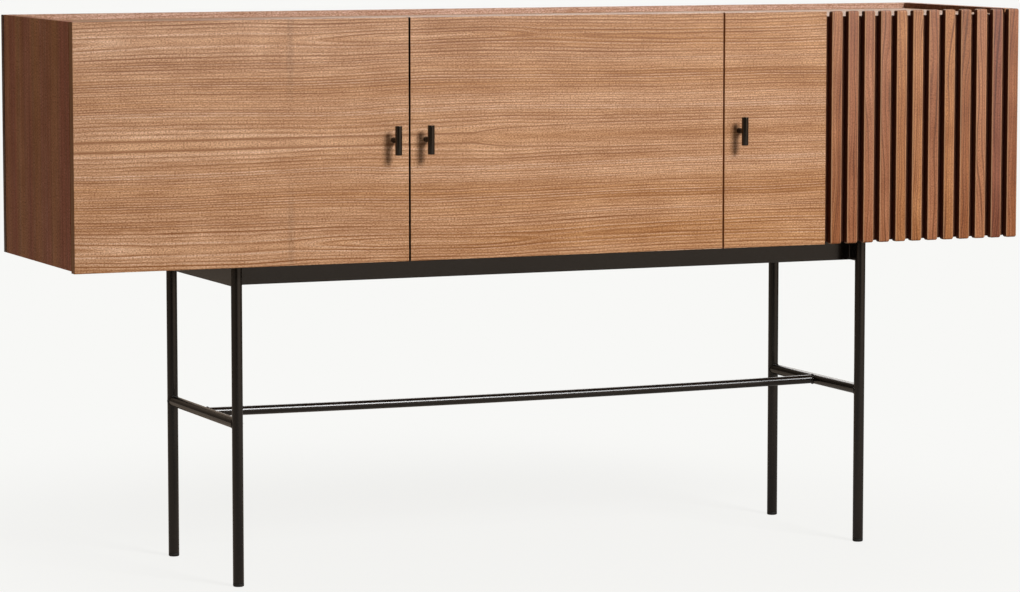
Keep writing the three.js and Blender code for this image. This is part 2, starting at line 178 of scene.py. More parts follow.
world = bpy.data.worlds.new("studio")
world.use_nodes = True
world.node_tree.nodes.clear()
node = partial(add, world.node_tree)
path = node("LightPath")
direction = (node("TexCoord"), "Generated")
behind = node("VectorMath", [direction, BACKDROP_SIDE], operation="DOT_PRODUCT")
backdrop_side = node("MapRange", [(behind, "Value"), 0.6, 0.95], interpolation_type="SMOOTHSTEP")
mirrored = node("Math", [(path, "Is Glossy Ray"), (path, "Is Transmission Ray")], operation="MAXIMUM")
dimmed = node("Math", [mirrored, MIRRORED_BACKDROP], operation="MULTIPLY")
reflected = node("Math", [dimmed, backdrop_side], operation="MULTIPLY")
seen = node("Math", [(path, "Is Camera Ray"), reflected], operation="MAXIMUM")
left = node("VectorMath", [direction, WALL_SIDE], operation="DOT_PRODUCT")
room = {"Value": (left, "Value"), "From Min": 0.4, "To Min": ROOM_LEVEL, "To Max": WALL_LEVEL}
level = node("MapRange", room, interpolation_type="SMOOTHSTEP")
towards = node("VectorMath", [direction, WINDOW_SIDE], operation="DOT_PRODUCT")
window_width = node("MapRange", [(towards, "Value"), 0.65, 1.0], interpolation_type="SMOOTHSTEP")
rise = node("Math", [(node("SeparateXYZ", [direction]), "Z")], operation="ABSOLUTE")
window_height = node("MapRange", [rise, 0.22, 0.06, 0.0, WINDOW_LEVEL])
window = node("Math", [window_width, window_height], operation="MULTIPLY")
lit = node("Math", [window, mirrored, level], operation="MULTIPLY_ADD")
dim = node("Background", [ROOM_TINT, lit])
tone = node("Mix", {0: mirrored, 6: BACKDROP, 7: ROOM_TINT}, data_type="RGBA")
pale = node("Background", [(tone, 2)])
node("OutputWorld", [node("MixShader", [seen, dim, pale])])
bpy.context.scene.world = world
print("world of", len(world.node_tree.nodes), "nodes")

# %% [markdown]
# ## Floor
# A plain pale floor could be a large plane that is lit like the object, but it would show a horizon. So
# only the part near the object takes its shadow, and further out the floor glows in the tone of the
# backdrop. In shiny surfaces it is dim, and paler behind the object and towards the window.

# %% Floor
FLOOR_RADIUS = 6.0
FLOOR_GREY = linear("b0b0ae")
FLOOR_LIFT = 1.18  # makes the floor around the shadow as pale as the backdrop
SHADOW_RADII = (0.5, 1.9)  # the shadow fades out between these distances from the middle
SHADOW_SHARE = 0.25  # how much of the floor's look is real light and shade, under the object
# Its level in reflections, by direction: 0 is away from the window and 1 towards it
MIRRORED_FLOOR = [(0.3, 0.33), (0.5, 0.14), (0.83, 0.14), (0.97, 0.36)]

turn = np.linspace(0, 2 * pi, 64, endpoint=False)
edge = np.stack([FLOOR_RADIUS * np.cos(turn), FLOOR_RADIUS * np.sin(turn), 0 * turn], axis=1)
floor_mesh = bpy.data.meshes.new("floor")
floor_mesh.from_pydata(edge.tolist(), [], [list(range(len(turn)))])
floor = bpy.data.objects.new("floor", floor_mesh)
bpy.context.scene.collection.objects.link(floor)
floor_paint, node = material("pale_studio_floor")
path = node("LightPath")
spot = (node("TexCoord"), "Object")
distance = (node("VectorMath", [spot], operation="LENGTH"), "Value")
shade_range = [distance, *SHADOW_RADII, 1 - SHADOW_SHARE, 1.0]
shade = node("MapRange", shade_range, interpolation_type="SMOOTHSTEP")
lift = node("MapRange", [distance, *SHADOW_RADII, FLOOR_LIFT, 1.0], interpolation_type="SMOOTHSTEP")
mirrored = node("Math", [(path, "Is Glossy Ray"), (path, "Is Transmission Ray")], operation="MAXIMUM")
heading = node("VectorMath", [spot], operation="NORMALIZE")
towards = node("VectorMath", [heading, WINDOW_SIDE], operation="DOT_PRODUCT")
turned_to = node("MapRange", [(towards, "Value"), -1.0, 1.0])
pool = node("ValToRGB", [turned_to], ramp=MIRRORED_FLOOR)
dimmed = node("Math", [mirrored, pool], operation="MULTIPLY")
seen = node("Math", [(path, "Is Camera Ray"), dimmed], operation="MAXIMUM")
even = node("Math", [seen, shade], operation="MULTIPLY")
matt = node("BsdfDiffuse", [FLOOR_GREY])
tone = node("Mix", {0: mirrored, 6: BACKDROP, 7: ROOM_TINT}, data_type="RGBA")
glow = node("Emission", [(tone, 2), lift])
node("OutputMaterial", [node("MixShader", [even, matt, glow])])
floor_mesh.materials.append(floor_paint)
print("floor of radius", FLOOR_RADIUS, "m")

# %% [markdown]
# ## Lines of walnut
# Walnut shows its growth rings as fine darker lines along the grain, 4 to 7 mm apart, some much stronger
# than the rest, with a pale hairline beside a few of them. Fine fibre and short dark pores lie over them.
# All of these follow the same lines, so they are drawn from the line, which is the distance across the
# grain after all its bends, and from the flow, which is the place along, through and across the board. An
# image of wood would be quicker, but could not follow the joints and the pieces here.

# %% Lines of walnut
# Cells are counted per metre: along the grain, through the board and across the grain
FADE_CELLS = (6.0, 20.0, 90.0)  # a ring's line comes and goes every 170 mm or so
FIBRE_CELLS = (20.0, 300.0, 400.0)  # fibres 50 mm long, drawn 2.5 mm wide so that they show
PORE_CELLS = (320.0, 450.0, 600.0)  # dashes 3 mm long, drawn 1.7 mm wide, some six times their width
UNEVEN_CELLS = 35.0  # per metre of the line: the rings are wider and narrower every 30 mm
RING_EDGE = [(0.02, 0.4), (0.11, 0.0), (0.56, 0.06), (0.86, 1.0), (0.97, 0.7)]
HAIRLINE = [(0.05, 0.0), (0.2, 1.0), (0.3, 0.8), (0.5, 0.0)]


def ring_lines(node, line, flow, ring):
    """Dark ring edges and pale hairlines, both from 0 to 1. The line divided by the ring's width in
    millimetres, plus an uneven part, counts the rings. What is left over a whole number goes through a
    ramp, and the whole number draws each ring's own strength at random."""
    uneven = node("TexNoise", {"W": line, "Scale": UNEVEN_CELLS, "Detail": 1.0}, noise_dimensions="1D")
    wander = node("Math", [uneven, 2.2], operation="MULTIPLY")
    count = node("Math", [line, 1 / (ring * MM), wander], operation="MULTIPLY_ADD")
    within = node("Math", [count], operation="FRACT")
    whole = node("Math", [count], operation="FLOOR")
    chance = node("TexWhiteNoise", {"W": whole}, noise_dimensions="1D")
    strong = node("Math", [chance, 1.6], operation="POWER")
    strength = node("MapRange", [strong, 0.0, 1.0, 0.38, 1.0])
    fade_place = node("VectorMath", [flow, FADE_CELLS], operation="MULTIPLY")
    fade_noise = node("TexNoise", {"Vector": fade_place, "Scale": 1.0})
    fade = node("MapRange", [fade_noise, 0.3, 0.7, 0.5, 1.0])
    edge = node("ValToRGB", [within], ramp=RING_EDGE)
    drawn = node("Math", [edge, strength], operation="MULTIPLY")
    rings = node("Math", [drawn, fade], operation="MULTIPLY")
    draws = node("SeparateXYZ", [(chance, "Color")])
    rare = node("Math", [(draws, 1), 1.5], operation="POWER")
    hairline = node("ValToRGB", [within], ramp=HAIRLINE)
    return rings, node("Math", [hairline, rare], operation="MULTIPLY")


def fine_grain(node, flow, fine):
    """Light, pores and relief of the fine grain, with fine as its strength. The light is a noise drawn
    out along the grain times a noise of flecks. Pores are the peaks of the flecks. The relief is the
    fibre less them."""
    fibre_place = node("VectorMath", [flow, FIBRE_CELLS], operation="MULTIPLY")
    fibre = node("TexNoise", {"Vector": fibre_place, "Scale": 1.0, "Detail": 3.0, "Roughness": 0.65})
    fibre_light = node("MapRange", [fibre, 0.2, 0.8, 1 - 0.2 * fine, 1 + 0.2 * fine])
    pore_place = node("VectorMath", [flow, PORE_CELLS], operation="MULTIPLY")
    pore_noise = node("TexNoise", {"Vector": pore_place, "Scale": 1.0, "Detail": 1.0})
    pores = node("MapRange", [pore_noise, 0.45, 0.8])
    fleck = node("MapRange", [pore_noise, 0.8, 0.2, 1 - 0.2 * fine, 1 + 0.2 * fine])
    light = node("Math", [fibre_light, fleck], operation="MULTIPLY")
    return light, pores, node("Math", [fibre, pores], operation="SUBTRACT")


print("a fibre is", 1 / MM / FIBRE_CELLS[0], "mm long, a pore", 1 / MM / PORE_CELLS[0], "mm")

# %% [markdown]
# ## Colour of walnut
# Under the lines lie bands of golden and rose wood some centimetres wide, finer bands that are lighter
# and darker, and soft clouds along the grain. Where the wood is darker its colour is also deeper: red
# hardly changes, green falls more and blue most. Towards the top of the doors and slats a share of white
# is mixed in, a painted sheen for the brighter light on their upper parts. A thin matt lacquer, soaked
# into the wood, is the surface that the eye sees: it mirrors little.

# %% Colour of walnut
BAND_CELLS = (0.7, 9.0, 24.0)  # golden and rose bands, about 40 mm wide
SHADE_CELLS = (1.5, 30.0, 62.0)  # lighter and darker ones, about 16 mm wide
CLOUD_CELLS = (12.0, 9.0, 12.0)  # clouds of 80 mm
DEEPENING = (1.0, 1.45, 2.05)  # how much red, green and blue follow the light and shade of the wood
HAIRLINE_SHARE = 0.52
PORE_SHARE = 0.6
# Painted sheen: white mixed into the doors and slats towards their top, for the brighter light there
TOP_SHEEN_HEIGHTS = (0.55, 0.97)  # metres: from the foot of the doors to their top
TOP_SHEEN = 0.038  # the share of white at the top
WHITE = (1.0, 1.0, 1.0, 1.0)


def walnut_figure(node, grain, tones, ring, contrast, mottle=0.09, fine=1.2, drift=0.0, hair=1.0):
    """The colour and the relief of walnut. Grain is the places along it, through it, on the line and in
    the flow. Bands go from the pale tone to the warm one, and drift moves them. Rings, by their contrast,
    and pores go to the dark tone, and hairlines, by hair, to cream. Then the light of all noises is
    multiplied in. Mottle is the swing of the clouds, and fine the strength of fibre and pores."""
    along, through, line, flow = grain
    pale, warm, dark = (linear(tone) for tone in tones)
    cream = [0.75 * channel + 0.22 for channel in pale[:3]]
    bands = node("CombineXYZ", [along, through, line])
    band_place = node("VectorMath", [bands, BAND_CELLS], operation="MULTIPLY")
    band_noise = node("TexNoise", {"Vector": band_place, "Scale": 1.0, "Detail": 3.0})
    drifted = node("Math", [band_noise, drift], operation="ADD")
    band = node("MapRange", [drifted, 0.34, 0.66])
    ground = node("Mix", {0: band, 6: pale, 7: warm}, data_type="RGBA")

    rings, hairlines = ring_lines(node, line, flow, ring)
    ring_share = node("Math", [rings, contrast], operation="MULTIPLY")
    ringed = node("Mix", {0: ring_share, 6: (ground, 2), 7: dark}, data_type="RGBA")
    glint = node("Math", [hairlines, contrast], operation="MULTIPLY")
    glint_share = node("Math", [glint, HAIRLINE_SHARE * hair], operation="MULTIPLY")
    lined = node("Mix", {0: glint_share, 6: (ringed, 2), 7: (*cream, 1.0)}, data_type="RGBA")
    grain_light, pores, relief = fine_grain(node, flow, fine)
    pore_share = node("Math", [pores, PORE_SHARE * fine], operation="MULTIPLY")
    pored = node("Mix", {0: pore_share, 6: (lined, 2), 7: dark}, data_type="RGBA")

    shade_place = node("VectorMath", [bands, SHADE_CELLS], operation="MULTIPLY")
    shade_noise = node("TexNoise", {"Vector": shade_place, "Scale": 1.0, "Detail": 3.0})
    shade = node("MapRange", [shade_noise, 0.3, 0.7, 0.89, 1.11])
    cloud_place = node("VectorMath", [flow, CLOUD_CELLS], operation="MULTIPLY")
    cloud_noise = node("TexNoise", {"Vector": cloud_place, "Scale": 1.0})
    cloud = node("MapRange", [cloud_noise, 0.25, 0.75, 1 - mottle, 1 + mottle])
    broad_light = node("Math", [shade, cloud], operation="MULTIPLY")
    light = node("Math", [broad_light, grain_light], operation="MULTIPLY")
    kept = [1 - share for share in DEEPENING]
    tint = node("VectorMath", [light, DEEPENING, kept], operation="MULTIPLY_ADD")
    return node("VectorMath", [(pored, 2), tint], operation="MULTIPLY"), relief


def painted_top_sheen(node, colour, height):
    """Painted sheen: a share of white that grows with the height, from the foot of the doors up, for the
    brighter light on the upper parts.
    """
    share = node("MapRange", [height, *TOP_SHEEN_HEIGHTS, 0.0, TOP_SHEEN])
    return (node("Mix", {0: share, 6: colour, 7: WHITE}, data_type="RGBA"), 2)


def lacquer(node, colour, relief, gloss=0.0):
    """A clear matt lacquer over the wood. It follows the fibre a little, and its shine varies with it.
    Gloss takes roughness off."""
    bump = node("Bump", {"Strength": 0.3, "Distance": 0.1 * MM, "Height": relief})
    rough = node("MapRange", [relief, -0.5, 0.8, 0.62 - gloss, 0.45 - gloss])
    coat = {"Base Color": colour, "Roughness": rough, "Normal": bump, "IOR": 1.5, "Specular IOR Level": 0.3}
    node("OutputMaterial", [node("BsdfPrincipled", coat)])


print("bands of", round(1 / MM / BAND_CELLS[2]), "and", round(1 / MM / SHADE_CELLS[2]), "mm")

# %% [markdown]
# ## Lines of a veneer sheet
# Veneer is a thin sheet sliced off a block, so its lines are the rings of the tree cut nearly flat. They
# lie around a heart line in each sheet. Where the cut passes close to a ring, its lines end in a long
# pointed arch, or fan out from a swirl. A curve along the sheet says how far the cut is from the heart
# there, and slow and quick noises bend the lines.

# %% Lines of a veneer sheet
SLOW_BENDS = (1.6, 6.0, 6.0)  # cells per metre along, through and across
QUICK_BENDS = (9.0, 25.0, 25.0)
MEAN_BEND = 2.2  # times the sway: half of the two swings below
DEEPEST = 40.0  # millimetres from the middle line where a curve is at 1


def bent(node, sheet, across, sway):
    """The distance across plus two noises: a slow one that swings by four times the sway, in millimetres,
    and a quick one that swings by two fifths of it."""
    slow_place = node("VectorMath", [sheet, SLOW_BENDS], operation="MULTIPLY")
    slow = node("TexNoise", {"Vector": slow_place, "Scale": 1.0, "Detail": 1.0})
    quick_place = node("VectorMath", [sheet, QUICK_BENDS], operation="MULTIPLY")
    quick = node("TexNoise", {"Vector": quick_place, "Scale": 1.0, "Detail": 1.0})
    quick_swing = node("Math", [quick, 0.4 * sway * MM], operation="MULTIPLY")
    swing = node("Math", [slow, 4 * sway * MM, quick_swing], operation="MULTIPLY_ADD")
    return node("Math", [across, swing], operation="ADD")


def closed_round(node, share, across, middle, curve):
    """Lines that close round a middle line: the root of the square of the distance from it and the square
    of the depth, which the curve gives for each share of the sheet's length. The second result is the
    distance over that root. Near 0 the cut runs flat along a ring, so its lines are wide."""
    off = node("Math", [across, middle], operation="SUBTRACT")
    deep = node("ValToRGB", [share], ramp=curve)
    depth = node("Math", [deep, DEEPEST * MM], operation="MULTIPLY")
    line = (node("VectorMath", [node("CombineXYZ", [off, depth])], operation="LENGTH"), "Value")
    steep = node("Math", [node("Math", [off], operation="ABSOLUTE"), line], operation="DIVIDE")
    return line, steep


print("lines close round a heart within", DEEPEST, "mm")

# %% [markdown]
# ## Trim of doors, ends and back
# The edges of veneered boards get bands of plainer walnut, glued on and planed flush. The two free edges
# of the left and the middle door, which meet, get a near-black painted shade instead, so that their gap
# is a crisp dark line. The inner faces of the ends and the rim of the back beside its shadow gap get the
# same painted shade, and the rear face of the back, away from daylight, keeps a deeper colour. These
# follow from the place on the object and the direction that the face looks in, so each is a mix over the
# wood.

# %% Trim of doors, ends and back
VENEER_TONES = ("d1a078", "be854f", "8c5526")
EDGE_BAND = linear("a9744a")
DOOR_BAND = 0.9  # how far the band covers the veneer's colour
END_BAND = 0.8
# Near-black painted shade for the doors' meeting edges, the inner faces of the ends and the back's rim
PAINTED_SHADE_TONE = linear("120b07")
PAINTED_SHADE_SHARE = 0.65  # the share of the painted shade tone on the inner faces and the rim
REAR_TINT = linear("f2cba6")
BACK_RIM = 0.895  # metres from the middle, where the rim of the back starts
MEETING_EDGES = -0.3  # metres: the middle of the gap between the left and the middle door
SWIRL = -0.517  # metres: a dark mark across the grain where the lines of the left door fan out
BOLD_LINE = 22.3  # millimetres: a ring that stands out beside the joint on all three doors
BOLD_WIDTH = 4.8  # millimetres
BOLD_SHARE = [(0.28, 0.0), (0.48, 0.75), (0.6, 0.75), (0.72, 0.0)]


def door_trim(node, colour, parts, facing, across):
    """Doors: the swirl's mark dims the wood, the bold line mixes in the dark tone by its distance across,
    the painted sheen whitens the top, and faces that look sideways get the band or, at the meeting edges,
    near-black painted shade for their gap."""
    beside = node("Math", [(parts, "X"), SWIRL], operation="SUBTRACT")
    from_swirl = node("Math", [beside], operation="ABSOLUTE")
    middle = node("MapRange", [from_swirl, 0.010, 0.001], interpolation_type="SMOOTHSTEP")
    outer = node("MapRange", [across, 0.05, 0.13])
    mark = node("Math", [middle, outer], operation="MULTIPLY")
    dimmed = node("MapRange", [mark, 0.0, 1.0, 1.0, 0.86])
    marked = node("VectorMath", {0: colour, "Scale": dimmed}, operation="SCALE")
    bolder = node("Math", [across, BOLD_LINE * MM], operation="SUBTRACT")
    off_line = node("MapRange", [bolder, -BOLD_WIDTH / 2 * MM, BOLD_WIDTH / 2 * MM])
    line_share = node("ValToRGB", [off_line], ramp=BOLD_SHARE)
    lined = node("Mix", {0: line_share, 6: marked, 7: linear(VENEER_TONES[2])}, data_type="RGBA")
    # The wood gets the painted sheen towards the top
    wood = painted_top_sheen(node, (lined, 2), (parts, "Z"))
    sideways = node("Math", [(facing, "X")], operation="ABSOLUTE")
    edge = node("MapRange", [sideways, 0.6, 0.8])
    band = node("Math", [edge, DOOR_BAND], operation="MULTIPLY")
    banded = node("Mix", {0: band, 6: wood, 7: EDGE_BAND}, data_type="RGBA")
    # Painted shade: the meeting edges of the left and the middle door go near black, for the shade in their
    # gap
    meeting = node("Math", [(parts, "X"), MEETING_EDGES, 3 * MM], operation="COMPARE")
    gap_shade = node("Math", [edge, meeting], operation="MULTIPLY")
    return (node("Mix", {0: gap_shade, 6: (banded, 2), 7: PAINTED_SHADE_TONE}, data_type="RGBA"), 2)


def end_trim(node, colour, parts, facing, across):
    """Ends and dividers: faces that look forwards get the band. Where the direction times the place
    sideways is well below 0, a face of an end looks back to the middle, and gets painted shade."""
    band = node("MapRange", [(facing, "Y"), -0.6, -0.8, 0.0, END_BAND])
    banded = node("Mix", {0: band, 6: colour, 7: EDGE_BAND}, data_type="RGBA")
    # Painted shade on the inner faces of the ends
    inward = node("Math", [(facing, "X"), (parts, "X")], operation="MULTIPLY")
    painted_shade = node("MapRange", [inward, -0.5, -0.8, 0.0, PAINTED_SHADE_SHARE])
    return (node("Mix", {0: painted_shade, 6: (banded, 2), 7: PAINTED_SHADE_TONE}, data_type="RGBA"), 2)


def back_trim(node, colour, parts, facing, across):
    """Back: the rear face is multiplied by a tint, and the rim, apart from that face, gets painted shade for
    its shadow gap.
    """
    rear = node("MapRange", [(facing, "Y"), 0.3, 0.6])
    tinted = {0: rear, 6: colour, 7: REAR_TINT}
    deeper = node("Mix", tinted, data_type="RGBA", blend_type="MULTIPLY")
    # Painted shade on the rim beside the shadow gap
    out = node("Math", [(parts, "X")], operation="ABSOLUTE")
    rim = node("Math", [out, BACK_RIM], operation="GREATER_THAN")
    front = node("MapRange", [(facing, "Y"), 0.6, 0.3, 0.0, PAINTED_SHADE_SHARE])
    painted_shade = node("Math", [rim, front], operation="MULTIPLY")
    return (node("Mix", {0: painted_shade, 6: (deeper, 2), 7: PAINTED_SHADE_TONE}, data_type="RGBA"), 2)


print("the bold line is", BOLD_WIDTH, "mm wide at most")

# %% [markdown]
# ## Walnut veneers
# The doors and boards are faced with sliced walnut. On the doors, two sheets from the same block are
# opened like a book, with the joint at half height, so the lower half mirrors the upper one, and the
# sheets run on from door to door. The lines open at the joint as they do round a heart, with a curve of
# their own. On the ends and the dividers the grain stands upright and is nearly straight.

# %% Walnut veneers
SHEET_JOINT = 0.761  # metres up: half the height of the doors
SHEET_ENDS = (-0.9, 0.9)  # metres: where a sheet starts and ends, along the grain
STRAIGHT = [(0.0, 0.0), (1.0, 0.0)]
LEANING = [(0.0, 1.0), (1.0, 0.1)]
HEART_CURVE = [(0.0, 0.16), (0.07, 0.24), (0.21, 0.26), (0.31, 0.02), (0.39, 0.0), (0.47, 0.2), (0.8, 0.0)]
JOINT_CURVE = [(0.16, 0.52), (0.4, 0.52), (0.43, 0.41), (0.47, 0.345), (0.56, 0.15), (0.75, 0.1)]
# From the joint out, whether the bands of the doors are more rose, towards 1, or more golden
GOLD_AND_ROSE = [(0.0, 0.5), (0.2, 0.35), (0.32, 0.75), (0.42, 0.6), (0.52, 0.2), (0.75, 0.6), (1.0, 0.45)]


def veneer(
    name, grain, tones, heart, curve=LEANING, ring=5.6, sway=10.0, contrast=0.9,
    joint=None, trim=None, gloss=0.0,
):
    """Sliced walnut. Grain names the axes along the grain, through the sheet and across it. The lines
    close round a heart line, after a joint, if any, has opened them. They are drawn weaker where the cut
    runs flat."""
    made, node = material(name)
    place = node("TexCoord")
    parts = node("SeparateXYZ", [(place, "Object")])
    facing = node("SeparateXYZ", [(place, "Normal")])
    along, through, across = ((parts, axis) for axis in grain)
    flow = node("CombineXYZ", [along, through, across])
    share = node("MapRange", [along, *SHEET_ENDS])
    crisp = 1.0
    drift = 0.0
    if joint:
        across, crisp = closed_round(node, share, across, joint, JOINT_CURVE)
        from_joint = node("MapRange", [across, 0.02, 0.21])
        zone = node("ValToRGB", [from_joint], ramp=GOLD_AND_ROSE)
        drift = node("MapRange", [zone, 0.0, 1.0, -0.12, 0.12])
    sheet = node("CombineXYZ", [along, through, across])
    swayed = bent(node, sheet, across, sway)
    line, steep = closed_round(node, share, swayed, heart + MEAN_BEND * sway * MM, curve)
    upright = node("Math", [steep, crisp], operation="MULTIPLY")
    weight = node("MapRange", [upright, 0.0, 0.9, 0.3 * contrast, contrast])
    colour, relief = walnut_figure(node, (along, through, line, flow), tones, ring, weight, drift=drift)
    if trim:
        colour = trim(node, colour, parts, facing, across)
    lacquer(node, colour, relief, gloss)
    return made


BACK_TONES = ("d6b197", "c9a088", "946850")
END_TONES = ("de9c67", "cb7b60", "6e381a")
DIVIDER_TONES = ("cf9a70", "ba7f54", "7a4824")
DOOR_LINES = {"ring": 4.7, "sway": 8.0, "contrast": 1.5, "joint": SHEET_JOINT, "gloss": 0.05}
UPRIGHT_LINES = {"curve": STRAIGHT, "ring": 4.2, "sway": 3.0, "trim": end_trim}
veneers = {
    "doors": veneer(
        "sliced_walnut_doors", "XYZ", VENEER_TONES, 0.175, HEART_CURVE, trim=door_trim, **DOOR_LINES
    ),
    "boards": veneer("sliced_walnut_boards", "XZY", VENEER_TONES, 0.02),
    "back": veneer("sliced_walnut_back", "XYZ", BACK_TONES, 0.8, trim=back_trim),
    "ends": veneer("sliced_walnut_ends", "ZXY", END_TONES, -0.6, contrast=1.45, **UPRIGHT_LINES),
    "dividers": veneer("sliced_walnut_dividers", "ZXY", DIVIDER_TONES, -0.6, contrast=1.2, **UPRIGHT_LINES),
}
print("veneers:", list(veneers))

# %% [markdown]
# ## Solid walnut slats
# Each slat is sawn from its own piece of walnut, so their tones differ, from golden to plum, and the
# grain wanders off to one side on some. One material for each tone, with a pattern that jumps from slat
# to slat, gives that without a material for each slat. The sides in the grooves are darkened towards a
# dark stain, painted shade that makes the grooves look deep, and the rounded edges are paler, from
# rubbing and as a painted highlight along them.

# %% Solid walnut slats
SLAT_PITCH = 0.033  # metres from slat to slat
SLAT_START = 0.5095  # metres: the middle of the groove before the first slat
DOOR_EDGE = 0.8995  # metres: just inside the outer side of the last slat, which gets no painted shade
SLAT_BENDS = (4.5, 25.0, 25.0)  # cells per metre along, through and across
LEAN = 0.07  # up to 4 degrees either way
# The dark stain of the backing, also mixed into the slats' sides as painted shade in the grooves
STAIN_AND_GROOVE_SHADE = "5a2c14"
EDGE_WEAR_AND_HIGHLIGHT = linear("d6a67c")
SLAT_TONES = {
    "golden": ("bb7c4a", "a86836", "582c11"),
    "rose": ("b4744b", "a05f39", "4e280f"),
    "russet": ("a56638", "914f28", "46200e"),
    "plum": ("9c5c3e", "894c30", "401d12"),
}


def solid_walnut(name, tones):
    """Walnut sawn along the grain, which runs up the slat. A slat's number is its distance from the first
    in pitches, cut to a whole number, and a random colour of that number moves and leans its pattern."""
    made, node = material(name)
    place = node("TexCoord")
    parts = node("SeparateXYZ", [(place, "Object")])
    from_first = node("Math", [(parts, "X"), SLAT_START], operation="SUBTRACT")
    pitches = node("Math", [from_first, SLAT_PITCH], operation="DIVIDE")
    number = node("Math", [pitches], operation="FLOOR")
    chance = node("TexWhiteNoise", {"W": number}, noise_dimensions="1D")
    draws = node("SeparateXYZ", [(chance, "Color")])
    lean = node("MapRange", [(draws, 1), 0.0, 1.0, -LEAN, LEAN])
    leaning = node("Math", [(parts, "Z"), lean, (parts, "X")], operation="MULTIPLY_ADD")
    jump = node("Math", [(draws, 2), 3.0, leaning], operation="MULTIPLY_ADD")
    level = node("Math", [(draws, 0), 9.0, (parts, "Z")], operation="MULTIPLY_ADD")
    moved = node("CombineXYZ", [level, (parts, "Y"), jump])
    bend_place = node("VectorMath", [moved, SLAT_BENDS], operation="MULTIPLY")
    bend = node("TexNoise", {"Vector": bend_place, "Scale": 1.0, "Detail": 1.0})
    line = node("Math", [bend, 30 * MM, jump], operation="MULTIPLY_ADD")
    flow = node("CombineXYZ", [level, (parts, "Y"), line])
    grain = (level, (parts, "Y"), line, flow)
    wood, relief = walnut_figure(node, grain, tones, 6.0, 1.0, mottle=0.18, fine=0.8, hair=0.3)

    facing = node("SeparateXYZ", [(place, "Normal")])
    sideways = node("Math", [(facing, "X")], operation="ABSOLUTE")
    # Rounded edges go paler: edge wear, and a painted highlight along them. The white towards the top is
    # painted sheen
    edge_wear_and_highlight = node("MapRange", [sideways, 0.06, 0.4, 0.0, 0.6])
    worn_and_highlit = node("Mix", {0: edge_wear_and_highlight, 6: painted_top_sheen(node, wood, (parts, "Z")), 7: EDGE_WEAR_AND_HIGHLIGHT}, data_type="RGBA")
    # Painted shade: the sides in the grooves go towards the dark stain, for the shade deep between the slats
    groove = node("MapRange", [sideways, 0.6, 0.8])
    inner = node("Math", [(parts, "X"), DOOR_EDGE], operation="LESS_THAN")
    painted_shade = node("Math", [groove, inner], operation="MULTIPLY")
    colour = node("Mix", {0: painted_shade, 6: (worn_and_highlit, 2), 7: linear(STAIN_AND_GROOVE_SHADE)}, data_type="RGBA")
    lacquer(node, (colour, 2), relief)
    return made


slat_walnut = {tone: solid_walnut("solid_walnut_" + tone, colours) for tone, colours in SLAT_TONES.items()}
print("slat tones:", list(slat_walnut))

# %% [markdown]
# ## Stained, painted and plated finishes
# The backing, the frame, the handles, the hinges and the feet have even colours. What tells them apart is
# how fine their skin is and how it shines, so one function makes them all, with the size and depth of the
# relief. The gloss varies with the relief and in broad faint patches, as handled surfaces do.


# %% Stained, painted and plated finishes
def even_finish(name, colour, roughness, grain_size, depth, metallic=0.0):
    """An even finish with a fine grain, a noise whose size and depth are in millimetres. The gloss
    follows the sum of the grain and of patches 70 mm wide, and the tone follows the patches."""
    made, node = material(name)
    place = node("TexCoord")
    grain = node("TexNoise", {"Vector": (place, "Object"), "Scale": 1 / (grain_size * MM), "Detail": 2.0})
    patches = node("TexNoise", {"Vector": (place, "Object"), "Scale": 14.0, "Detail": 3.0})
    wear = node("Math", [grain, patches], operation="ADD")
    rough = node("MapRange", [wear, 0.7, 1.3, 0.9 * roughness, 1.1 * roughness])
    tone = node("MapRange", [patches, 0.3, 0.7, 0.9, 1.1])
    shade = node("VectorMath", {0: linear(colour)[:3], "Scale": tone}, operation="SCALE")
    bump = node("Bump", {"Strength": 0.35, "Distance": depth * MM, "Height": grain})
    coat = {"Base Color": shade, "Metallic": metallic, "Roughness": rough, "Normal": bump}
    node("OutputMaterial", [node("BsdfPrincipled", coat)])
    return made


finishes = {
    # The thin board behind the slats is stained dull and dark, in the tone of the painted shade on the
    # slats' sides
    "black_backing": even_finish("dark_stained_board", STAIN_AND_GROOVE_SHADE, 0.8, 2.0, 0.1),
    # Powder coat melts to a smooth skin with a faint orange peel: satin black with soft highlights
    "black_steel": even_finish("black_powder_coat", "120d09", 0.22, 2.5, 0.0015),
    # Blackened steel is bare metal with a thin dark oxide: its highlights are warm and stand out more
    "handle_black": even_finish("blackened_steel", "443f3a", 0.2, 0.9, 0.003, metallic=1.0),
    # Nickel plating over pressed steel: pale and bright, with a slight blur
    "plated_steel": even_finish("nickel_plate", "b4b1ab", 0.28, 3.0, 0.02, metallic=1.0),
    # Plastic from a mould with a fine spark texture: even and dull
    "glide_plastic": even_finish("black_moulded_plastic", "101010", 0.55, 0.8, 0.05),
    "walnut_veneer": veneers["boards"],
}
print("finishes by slot:", list(finishes))

# %% [markdown]
# ## Finishes on the imported pieces
# Each imported piece takes the finish of its slot, with the grain laid the way that the maker would lay it:
# along the doors, the top and the shelves, and upright on the ends, the dividers and the slats. The slats
# take the tones in the order listed.

# %% Finishes on the imported pieces
SLAT_ORDER = "russet rose rose rose golden golden rose golden russet rose plum russet".split()
GRAIN_OF_BOARD = {"panel": "doors", "end": "ends", "divider": "dividers"}

for part in subparts:
    name = part["node"]
    kind = name.split("_")[-1]
    finish = finishes.get(part["material_slot"])
    if name.startswith("slat_"):
        finish = slat_walnut[SLAT_ORDER[int(kind) - 1]]
    elif name == "back_panel":
        finish = veneers["back"]
    elif kind in GRAIN_OF_BOARD:
        finish = veneers[GRAIN_OF_BOARD[kind]]
    nodes[name].data.materials.clear()
    nodes[name].data.materials.append(finish)
print("finishes on", len(subparts), "nodes")

